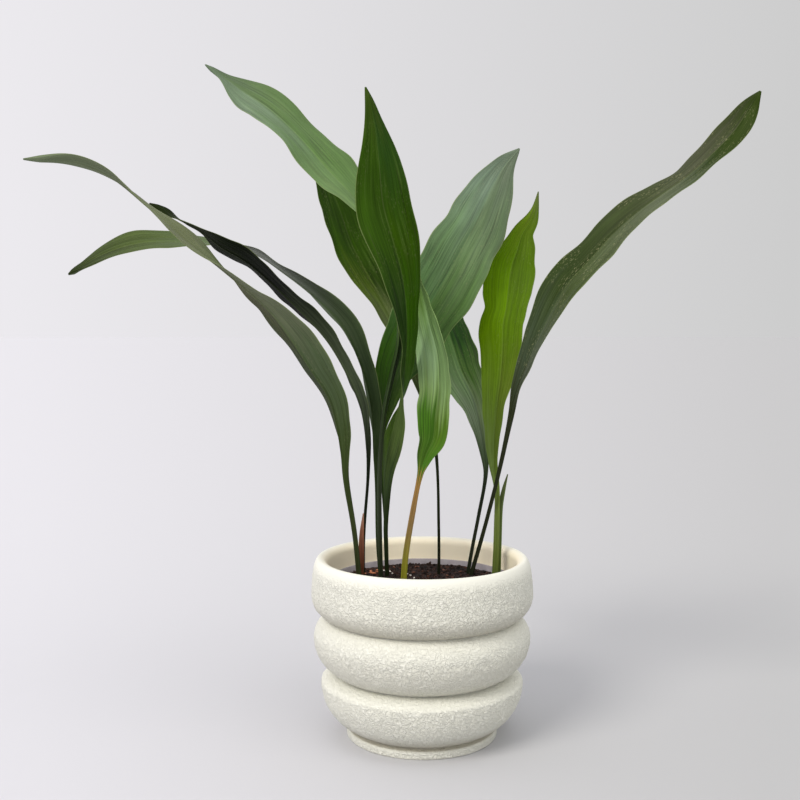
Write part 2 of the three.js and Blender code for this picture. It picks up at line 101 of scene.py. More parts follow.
def skin(rings, start, end):
    """Closed skin over rings, an array (rows, columns, 3) with a closed loop in each row.
    Neighbouring points join in quads, and fans of triangles to start and end close it."""
    rows, columns = rings.shape[:2]
    here = 1 + np.arange(rows * columns).reshape(rows, columns)
    beside = np.roll(here, -1, axis=1)
    quads = np.stack([here[:-1], beside[:-1], beside[1:], here[1:]], -1).reshape(-1, 4)
    last = 1 + rows * columns
    first_fan = np.stack([np.zeros(columns, int), beside[0], here[0]], -1)
    last_fan = np.stack([np.full(columns, last), here[-1], beside[-1]], -1)
    points = np.concatenate([[start], rings.reshape(-1, 3), [end]])
    return points, [quads, first_fan, last_fan]


def new_piece(name, points, polygons, material, slot):
    """Smooth mesh object on the root body, from points in mm and arrays of polygon indices."""
    mesh = bpy.data.meshes.new(name)
    corners = np.concatenate([block.ravel() for block in polygons])
    sizes = np.concatenate([np.full(len(block), block.shape[1]) for block in polygons])
    mesh.vertices.add(len(points))
    mesh.vertices.foreach_set("co", (np.asarray(points) * MM).ravel())
    mesh.loops.add(len(corners))
    mesh.loops.foreach_set("vertex_index", corners)
    mesh.polygons.add(len(sizes))
    mesh.polygons.foreach_set("loop_start", np.cumsum(sizes) - sizes)
    mesh.update(calc_edges=True)
    mesh.shade_smooth()
    mesh.materials.append(material)
    piece = bpy.data.objects.new(name, mesh)
    bpy.context.scene.collection.objects.link(piece)
    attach(piece, "root")
    return piece


def point_values(piece, name, values):
    """Stores one number for each point, for the material to read."""
    attribute = piece.data.attributes.new(name, "FLOAT", "POINT")
    attribute.data.foreach_set("value", np.asarray(values, np.float32))


def quarter(centre, semi, start_degrees, steps):
    """Quarter of an ellipse as (r, z): centre plus semi axes times cosine and sine."""
    angle = np.radians(start_degrees + 90 * np.arange(1, steps + 1) / steps)
    return np.stack([centre[0] + semi[0] * np.cos(angle), centre[1] + semi[1] * np.sin(angle)], -1)


def between(start, end, steps):
    """Straight run of (r, z) points after start, up to and with end."""
    share = np.arange(1, steps + 1)[:, None] / steps
    return np.asarray(start) * (1 - share) + np.asarray(end) * share


def turn(profile, sides):
    """Rings of a lathe: each (r, z) of the profile at every angle about the Z axis."""
    angle = 2 * np.pi * np.arange(sides) / sides
    r, z = profile[:, 0, None], profile[:, 1, None]
    return np.stack([r * np.cos(angle), r * np.sin(angle), z + 0 * angle], -1)


def half_ring(crease, widest, span, steps):
    """Arc of an ellipse as (r, z) from a crease out to the widest line of a ring. It starts
    span degrees before that line, so that two rings meet in an open groove."""
    share = np.radians(span)
    across = (widest[0] - crease[0]) / (1 - np.cos(share))
    upright = (crease[1] - widest[1]) / np.sin(share)
    angle = share * (1 - np.arange(steps + 1) / steps)
    return np.stack([widest[0] - across * (1 - np.cos(angle)),
                     widest[1] + upright * np.sin(angle)], -1)


def bulge(below, widest, above, steps_below, steps_above, top_span):
    """One ring of the planter: an arc out to the widest line, and one back in."""
    lower = half_ring(below, widest, CREASE_SPAN, steps_below)[1:]
    upper = half_ring(above, widest, top_span, steps_above)[-2::-1]
    return np.concatenate([lower, upper])


def lumps(x, y, size, seed, cells=256):
    """Smooth random field from -1 to 1: random values on a square lattice of that size, eased
    between neighbours by 3t squared - 2t cubed. Along x it repeats after that many cells."""
    table = np.random.default_rng(seed).uniform(-1, 1, (cells, 256))
    middle = 128.5
    gx, gy = x / size + middle, y / size + middle
    ix, iy = np.floor(gx).astype(int), np.floor(gy).astype(int)
    tx, ty = gx - ix, gy - iy
    tx, ty = tx * tx * (3 - 2 * tx), ty * ty * (3 - 2 * ty)
    ix, beside = ix % cells, (ix + 1) % cells
    low = table[ix, iy % 256] * (1 - tx) + table[beside, iy % 256] * tx
    high = table[ix, (iy + 1) % 256] * (1 - tx) + table[beside, (iy + 1) % 256] * tx
    return low * (1 - ty) + high * ty


def crinkled_glaze():
    """Matt ivory glaze, sprayed so that it dries in small crinkles about 3 mm wide. The eye
    sees a soft, chalky white with fine lit ridges, and almost no reflection. The glaze is
    wiped smooth on the lip and inside. Under each ring and in the gap over the foot its colour
    is darkened as painted shade."""
    crinkle_mm, flattened = 2.5, 1.2
    material, tree, surface = new_material("crinkled_matt_glaze")
    place = add(tree, "TexCoord").outputs["Object"]
    grain = add(tree, "Attribute", attribute_name="grain").outputs["Fac"]
    flat = add(tree, "Mapping", {"Vector": place, "Scale": (1, 1, flattened)})
    crinkle = add(tree, "TexNoise", {"Vector": flat.outputs[0], "Scale": 1 / (crinkle_mm * MM),
                                     "Detail": 2.0, "Roughness": 0.55, "Distortion": 1.0})
    ridges = add(tree, "MapRange", {"Value": crinkle.outputs["Fac"], "From Min": 0.36,
                                    "From Max": 0.64}, interpolation_type="SMOOTHSTEP")
    relief = add(tree, "Math", {0: ridges.outputs[0], 1: grain}, operation="MULTIPLY")
    bump = add(tree, "Bump", {"Height": relief.outputs[0], "Strength": 1.0, "Distance": 0.0008})
    shade = add(tree, "MixRGB", {"Fac": relief.outputs[0], "Color1": srgb("#e2e2d6"),
                                 "Color2": srgb("#e9e9df")})
    # Inside the lip the glaze is a warmer cream, painted brighter than the outside: partly its own
    # colour, partly painted light on the inner wall.
    inner = add(tree, "Attribute", attribute_name="inner").outputs["Fac"]
    smooth = add(tree, "MixRGB", {"Fac": inner, "Color1": srgb("#e9e9df"),
                                  "Color2": srgb("#fff5dc")})
    thick = add(tree, "MixRGB", {"Fac": grain, "Color1": smooth.outputs[0],
                                 "Color2": shade.outputs[0]})
    # Painted shade: the colour darkens towards #bfbbab under each ring and in the gap over the foot.
    painted_under_shade = add(tree, "Attribute", attribute_name="painted_under_shade").outputs["Fac"]
    coat = add(tree, "MixRGB", {"Fac": painted_under_shade, "Color1": thick.outputs[0],
                                "Color2": srgb("#bfbbab")})
    finish = add(tree, "BsdfPrincipled", {"Base Color": coat.outputs[0], "Roughness": 0.62,
                                          "Specular IOR Level": 0.3, "Normal": bump.outputs[0]})
    tree.links.new(finish.outputs[0], surface)
    return material


def glaze_values(piece, name, by_row, first, last):
    """Stores one number for each row of the planter, and for its two closing points."""
    point_values(piece, name, np.concatenate([[first], np.repeat(by_row, POT_SIDES), [last]]))


lip_crest, widest_radius = RINGS[2][2][0], RINGS[2][1][0]
outer_profile = np.concatenate([
    between((0, 0), (FOOT_RADIUS - FOOT_BEVEL, 0), 10),
    quarter((FOOT_RADIUS - FOOT_BEVEL, FOOT_BEVEL), (FOOT_BEVEL, FOOT_BEVEL), -90, 5),
    between((FOOT_RADIUS, FOOT_BEVEL), (FOOT_RADIUS, FOOT_HEIGHT - 1), 4),
    between((FOOT_RADIUS, FOOT_HEIGHT - 1), RINGS[0][0], 5),
    bulge(*RINGS[0], 32, 16, CREASE_SPAN),
    bulge(*RINGS[1], 28, 18, CREASE_SPAN),
    bulge(*RINGS[2], 20, 22, 90),
])
inner_profile = np.concatenate([
    quarter((lip_crest, POT_HEIGHT - LIP_DROP), (lip_crest - LIP_INNER_RADIUS, LIP_DROP), 90, 10),
    *(between(above, below, steps)
      for (above, _), (below, steps) in zip(INNER_WALL, INNER_WALL[1:])),
])
pot_profile = np.concatenate([outer_profile, inner_profile])
pot_rings = turn(pot_profile, POT_SIDES)
pot_angle = 2 * np.pi * np.arange(POT_SIDES) / POT_SIDES
pot_radii, pot_heights = pot_profile.T
outside = np.arange(len(pot_profile)) < len(outer_profile)

# The relief goes inwards only, along rows that are measured over the curve of the profile.
on_wall = np.clip(np.minimum(pot_heights - RELIEF_LOW, RELIEF_HIGH - pot_heights) / FADE, 0, 1)
on_wall = (on_wall * outside)[:, None]
hand = GLAZE_WAVINESS * np.abs(np.sin(5 * pot_angle + pot_heights[:, None] / 9)
                               + np.sin(8 * pot_angle - pot_heights[:, None] / 6 + 2))
run = np.cumsum(np.hypot(*np.diff(pot_profile, axis=0, prepend=pot_profile[:1]).T))[:, None]
crinkles = sum(lumps(pot_angle * count * high / (2 * np.pi), run, high, count, count)
               for count, high in CRINKLE_SIZES)
hollow = on_wall * (hand + CRINKLE_DEPTH * (1 - crinkles / len(CRINKLE_SIZES)))
pot_rings[..., :2] *= (1 - hollow / widest_radius)[..., None]
pot = new_piece("planter", *skin(pot_rings, (0, 0, 0), (0, 0, POT_FLOOR)), crinkled_glaze(),
                "glazed_ivory")

# Glaze runs smooth at the lip and partly on top of each ring. Under each ring and in the gap
# over the foot its colour is darkened as painted shade. Both follow how far a row faces up,
# from -1 to 1.
slope = np.gradient(pot_profile, axis=0)
facing_up = -slope[:, 0] / np.hypot(*slope.T)
below_lip = np.clip((POT_HEIGHT - 2 - pot_heights) / FADE, 0, 1)
run_smooth = 0.5 * np.clip(1.3 * facing_up, 0, 1)
glaze_values(pot, "grain", outside * below_lip * (1 - run_smooth), 0, 0)
shade_under_ring = np.clip(0.1 - facing_up, 0, 1) * np.clip(pot_heights / 90 - 0.35, 0.1, 0.85)
shade_over_foot = np.clip((24 - pot_heights) / 14, 0, 1) * (pot_heights > FOOT_HEIGHT)
glaze_values(pot, "painted_under_shade", outside * np.maximum(shade_under_ring, shade_over_foot), 1, 0)
# The inner wall takes the brighter cream, which is partly painted light.
past_lip = np.clip((LIP_INNER_RADIUS + 7 - pot_radii) / 6, 0, 1)
glaze_values(pot, "inner", past_lip * ~outside, 0, 1)
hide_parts("pot")

# ---- Nursery pot --------------------------------------------------------------------------
# The thin grey plastic pot that the plant was grown in. Only its rim shows, as a band round
# the soil. It is injection moulded, and it sits loose in the planter.

NURSERY_TOP = 141
NURSERY_SIDES = 160
PLASTIC_WALL = 1.6
SEAT_GAP = 0.3
NURSERY_MOUTH, NURSERY_SHOULDER = (81.4, NURSERY_TOP), (79.4, 131)
NURSERY_HEEL = (58.4, POT_FLOOR + SEAT_GAP + PLASTIC_WALL)


def moulded_plastic():
    """Grey-lilac polypropylene from a mould: satin, with dust and fine scuffs dulling it."""
    scuff_mm = 6
    material, tree, surface = new_material("moulded_polypropylene")
    place = add(tree, "TexCoord").outputs["Object"]
    scuff = add(tree, "TexNoise", {"Vector": place, "Scale": 1 / (scuff_mm * MM), "Detail": 5.0})
    shade = add(tree, "MixRGB", {"Fac": scuff.outputs["Fac"], "Color1": srgb("#8c868d"),
                                 "Color2": srgb("#bdb6bc")})
    finish = add(tree, "BsdfPrincipled", {"Base Color": shade.outputs[0], "Roughness": 0.5})
    tree.links.new(finish.outputs[0], surface)
    return material


nursery_base = POT_FLOOR + SEAT_GAP
bead = PLASTIC_WALL / 2
bead_centre = (NURSERY_MOUTH[0] + bead, NURSERY_TOP - bead)
outer_heel, outer_shoulder, outer_mouth = (
    point[0] + PLASTIC_WALL for point in (NURSERY_HEEL, NURSERY_SHOULDER, NURSERY_MOUTH))
flange = NURSERY_SHOULDER[1] + 3
nursery_profile = np.concatenate([
    between((0, nursery_base), (NURSERY_HEEL[0], nursery_base), 4),
    quarter((NURSERY_HEEL[0], nursery_base + PLASTIC_WALL), (PLASTIC_WALL, PLASTIC_WALL), -90, 4),
    between((outer_heel, nursery_base + PLASTIC_WALL), (outer_shoulder, NURSERY_SHOULDER[1]), 8),
    between((outer_shoulder, NURSERY_SHOULDER[1]), (outer_mouth, flange), 3),
    between((outer_mouth, flange), (outer_mouth, NURSERY_TOP - bead), 4),
    quarter(bead_centre, (bead, bead), 0, 4),
    quarter(bead_centre, (bead, bead), 90, 4),
    between((NURSERY_MOUTH[0], NURSERY_TOP - bead), NURSERY_SHOULDER, 4),
    between(NURSERY_SHOULDER, NURSERY_HEEL, 6),
    between(NURSERY_HEEL, (5, NURSERY_HEEL[1]), 3),
])
nursery_skin = skin(turn(nursery_profile, NURSERY_SIDES), (0, 0, nursery_base),
                    (0, 0, NURSERY_HEEL[1]))
nursery = new_piece("nursery_liner", *nursery_skin, moulded_plastic(), "grey_plastic")
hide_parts("nursery_pot")

# ---- Soil ---------------------------------------------------------------------------------
# Peaty potting mix: dark damp crumbs, with bits of reddish bark and white perlite among them.
# It fills the nursery pot, and the stalks stand in it.

SOIL_TOP, SOIL_SINK = 136, 0.3
SOIL_GRID = 250
SOIL_EDGE, EDGE_EASE, EDGE_SHARE = 80.0, 6, 0.35
SOIL_CLEARANCE = 0.4
# Height and size of the broad mounds, and of the clods and crumbs on them.
MOUNDS, CLODS = (1.4, 26), ((1.9, 7.5), (1.3, 3.4), (0.6, 1.5))
CRUMB_COUNT = 1500
soil_draw = np.random.default_rng(7)


def soil_height(x, y):
    """Height of the soil: broad mounds, then clods and crumbs of ever smaller lumps. Sharp
    valleys come from a half minus the absolute value of each field. It eases off at the wall."""
    reach = np.clip((SOIL_EDGE - np.hypot(x, y)) / EDGE_EASE, 0, 1)
    rise = MOUNDS[0] * lumps(x, y, MOUNDS[1], 1)
    for seed, (height, size) in enumerate(CLODS, 2):
        rise = rise + height * (0.5 - np.abs(lumps(x, y, size, seed)))
    return SOIL_TOP - SOIL_SINK + (EDGE_SHARE + (1 - EDGE_SHARE) * reach) * rise


def damp_soil():
    """Damp peat: almost black brown, with redder and paler crumbs, quite rough with a faint
    wet gleam in places. The grit is drawn a little coarser than life so that it shows."""
    crumb_mm, patch_mm, grit_mm = 2.2, 14, 2 / 3
    material, tree, surface = new_material("damp_potting_mix")
    place = add(tree, "TexCoord").outputs["Object"]
    cells = add(tree, "TexVoronoi", {"Vector": place, "Scale": 1 / (crumb_mm * MM)})
    patch = add(tree, "TexNoise", {"Vector": place, "Scale": 1 / (patch_mm * MM), "Detail": 4.0})
    grey = add(tree, "SeparateColor", {"Color": cells.outputs["Color"]})
    tone = add(tree, "ValToRGB", {"Fac": grey.outputs[0]})
    ramp = tone.color_ramp
    ramp.elements[0].color = srgb("#1a0f0c")
    ramp.elements[1].position, ramp.elements[1].color = 0.97, srgb("#5c3626")
    for share, colour in ((0.35, "#281813"), (0.62, "#341f1a"), (0.88, "#45291f")):
        ramp.elements.new(share).color = srgb(colour)
    dark = add(tree, "MixRGB", {"Fac": patch.outputs["Fac"], "Color1": srgb("#4a4040"),
                                "Color2": srgb("#ffffff")})
    colour = add(tree, "MixRGB", {"Fac": 1.0, "Color1": tone.outputs[0],
                                  "Color2": dark.outputs[0]}, blend_type="MULTIPLY")
    grit = add(tree, "TexNoise", {"Vector": place, "Scale": 1 / (grit_mm * MM), "Detail": 3.0})
    bump = add(tree, "Bump", {"Height": grit.outputs["Fac"], "Strength": 0.6, "Distance": 0.0005})
    finish = add(tree, "BsdfPrincipled", {"Base Color": colour.outputs[0], "Roughness": 0.8,
                                          "Specular IOR Level": 0.3, "Normal": bump.outputs[0]})
    tree.links.new(finish.outputs[0], surface)
    return material


def loose_bits(centres, sizes, seed, facets_round=8):
    """Many small rough lumps in one mesh. Each is a squashed ball of rings, with its points
    pushed in or out at random, turned at random about Z. Returns points and polygons."""
    draw = np.random.default_rng(seed)
    count = len(centres)
    rise = np.radians([-50, 0, 50])
    around = 2 * np.pi * np.arange(facets_round) / facets_round
    radius, height = np.cos(rise)[:, None], np.sin(rise)[:, None]
    ball = np.stack([radius * np.cos(around), radius * np.sin(around), height + 0 * around], -1)
    points, polygons = skin(ball, (0, 0, -1), (0, 0, 1))
    shape = points[None] * draw.uniform(0.72, 1.15, (count, len(points), 1)) * sizes[:, None, :]
    angle = draw.uniform(0, 2 * np.pi, count)[:, None]
    x = shape[..., 0] * np.cos(angle) - shape[..., 1] * np.sin(angle)
    y = shape[..., 0] * np.sin(angle) + shape[..., 1] * np.cos(angle)
    tilt = draw.uniform(-0.5, 0.5, (count, 1))
    placed = np.stack([x, y, shape[..., 2] + tilt * x], -1) + centres[:, None, :]
    shift = (np.arange(count) * len(points))[:, None, None]
    blocks = [(block[None] + shift).reshape(-1, block.shape[1]) for block in polygons]
    return placed.reshape(-1, 3), blocks


def scattered(count, seed, reach=SOIL_EDGE - 4):
    """Random places on the soil, even by area."""
    draw = np.random.default_rng(seed)
    radius, angle = reach * np.sqrt(draw.uniform(0, 1, count)), draw.uniform(0, 2 * np.pi, count)
    return radius * np.cos(angle), radius * np.sin(angle)


peat = damp_soil()
side = np.linspace(-1, 1, SOIL_GRID)
square_x, square_y = np.meshgrid(side, side, indexing="ij")
disc_x = square_x * np.sqrt(1 - square_y ** 2 / 2)
disc_y = square_y * np.sqrt(1 - square_x ** 2 / 2)
soil_x, soil_y = SOIL_EDGE * disc_x, SOIL_EDGE * disc_y
soil_top = np.stack([soil_x, soil_y, soil_height(soil_x, soil_y)], -1)
ids = np.arange(SOIL_GRID ** 2).reshape(SOIL_GRID, SOIL_GRID)
soil_quads = np.stack([ids[:-1, :-1], ids[1:, :-1], ids[1:, 1:], ids[:-1, 1:]], -1).reshape(-1, 4)
rim = np.concatenate([ids[0, :-1], ids[:-1, -1], ids[-1, :0:-1], ids[:0:-1, 0]])[::-1]
wall_angle = np.arctan2(soil_top.reshape(-1, 3)[rim, 1], soil_top.reshape(-1, 3)[rim, 0])
soil_base = NURSERY_HEEL[1] + SEAT_GAP
wall_rings = [np.stack([(radius - SOIL_CLEARANCE) * np.cos(wall_angle),
                        (radius - SOIL_CLEARANCE) * np.sin(wall_angle),
                        0 * wall_angle + height], -1)
              for radius, height in (NURSERY_SHOULDER, (NURSERY_HEEL[0], soil_base))]
soil_points = np.concatenate([soil_top.reshape(-1, 3), *wall_rings, [(0, 0, soil_base)]])
upper_ids = SOIL_GRID ** 2 + np.arange(len(rim))
lower_ids = upper_ids + len(rim)
centre_id = np.full(len(rim), lower_ids[-1] + 1)
soil_bands = [np.stack([a, np.roll(a, -1), np.roll(b, -1), b], -1)
              for a, b in ((upper_ids, rim), (lower_ids, upper_ids))]
soil_fan = np.stack([centre_id, np.roll(lower_ids, -1), lower_ids], -1)
soil = new_piece("potting_soil", soil_points, [soil_quads, *soil_bands, soil_fan], peat, "dark_soil")
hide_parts("soil")

crumb_x, crumb_y = scattered(CRUMB_COUNT, 11)
crumb_size = 0.7 + 1.6 * soil_draw.uniform(0, 1, (CRUMB_COUNT, 1)) ** 2.5
crumb_axes = crumb_size * soil_draw.uniform(0.7, 1.2, (CRUMB_COUNT, 3)) * (1, 1, 0.8)
crumb_z = soil_height(crumb_x, crumb_y) + 0.25 * crumb_size[:, 0]
crumb_centres = np.stack([crumb_x, crumb_y, crumb_z], -1)
new_piece("soil_crumbs", *loose_bits(crumb_centres, crumb_axes, 5, 7), peat, "dark_soil")


def plain_grit(name, light, dark, size_mm):
    """Rough dry grains that vary from a light to a dark colour over a few millimetres."""
    material, tree, surface = new_material(name)
    place = add(tree, "TexCoord").outputs["Object"]
    noise = add(tree, "TexNoise", {"Vector": place, "Scale": 1 / (size_mm * MM), "Detail": 4.0})
    shade = add(tree, "MixRGB", {"Fac": noise.outputs["Fac"], "Color1": srgb(dark),
                                 "Color2": srgb(light)})
    finish = add(tree, "BsdfPrincipled", {"Base Color": shade.outputs[0], "Roughness": 0.85})
    tree.links.new(finish.outputs[0], surface)
    return material


def sprinkled(name, places, axes_mm, seed, material):
    """Loose bits at given (x, y) places, lying on the soil, of about those axes."""
    draw = np.random.default_rng(seed)
    x, y = places
    axes = np.asarray(axes_mm) * draw.uniform(0.6, 1.35, (len(x), 3))
    centres = np.stack([x, y, soil_height(x, y) + 0.6 * axes[:, 2] + 0.3], -1)
    return new_piece(name, *loose_bits(centres, axes, seed + 1), material, "dark_soil")


# A few bits of fresh bark and perlite lie in view, at the left between the stalks.
BARK_COUNT, PERLITE_COUNT = 46, 16
FRESH_BARK_PLACES = ([-52, -47, -45, -41.5, -39], [27, 40, 31, 44, 33])
PERLITE_PLACES = ([-35, -29, -27, -13, -10], [41, 39, 31, 35, 29])

sprinkled("bark_bits", scattered(BARK_COUNT, 21), (2.6, 1.2, 0.6), 22,
          plain_grit("composted_bark", "#84503a", "#40261c", 3))
sprinkled("red_bark_bits", np.array(FRESH_BARK_PLACES), (3.6, 1.7, 0.8), 24,
          plain_grit("fresh_bark", "#c88258", "#96553a", 4))
perlite_places = np.concatenate([scattered(PERLITE_COUNT, 31), PERLITE_PLACES], axis=1)
sprinkled("perlite_bits", perlite_places, (1.2, 1.0, 0.8), 32,
          plain_grit("perlite", "#f4f0ea", "#cfc6bb", 2))

# ---- Leaves -------------------------------------------------------------------------------
# Eleven leathery leaves, each grown in one piece: a stiff channelled stalk that widens into a
# long waved blade with parallel veins. The upper side is glossier and deeper green than the
# underside. Each stands in the soil on its own stalk.

STALK_HALF_WIDTH = 2.7
BLADE_HALF_THICKNESS = 0.42
ROOT_DEPTH = 110
STALK_ROWS, BLADE_ROWS = 36, 170
LEAF_COLUMNS = 49
# Fine relief of a blade: depth of its pleats, of the groove over the midrib and of the ruffle
# at its edge, height of the keel at its foot and how much of it is gone at the tip, and how
# far the margin wanders as a share of the half width.
PLEAT_DEPTH, GROOVE_DEPTH, GROOVE_WIDTH = 0.07, 0.28, 0.8
RUFFLE_HEIGHT, MARGIN_WANDER = 0.3, 0.03
KEEL_HEIGHT, KEEL_LOSS, KEEL_WIDTH = 1.6, 1.45, 1.3
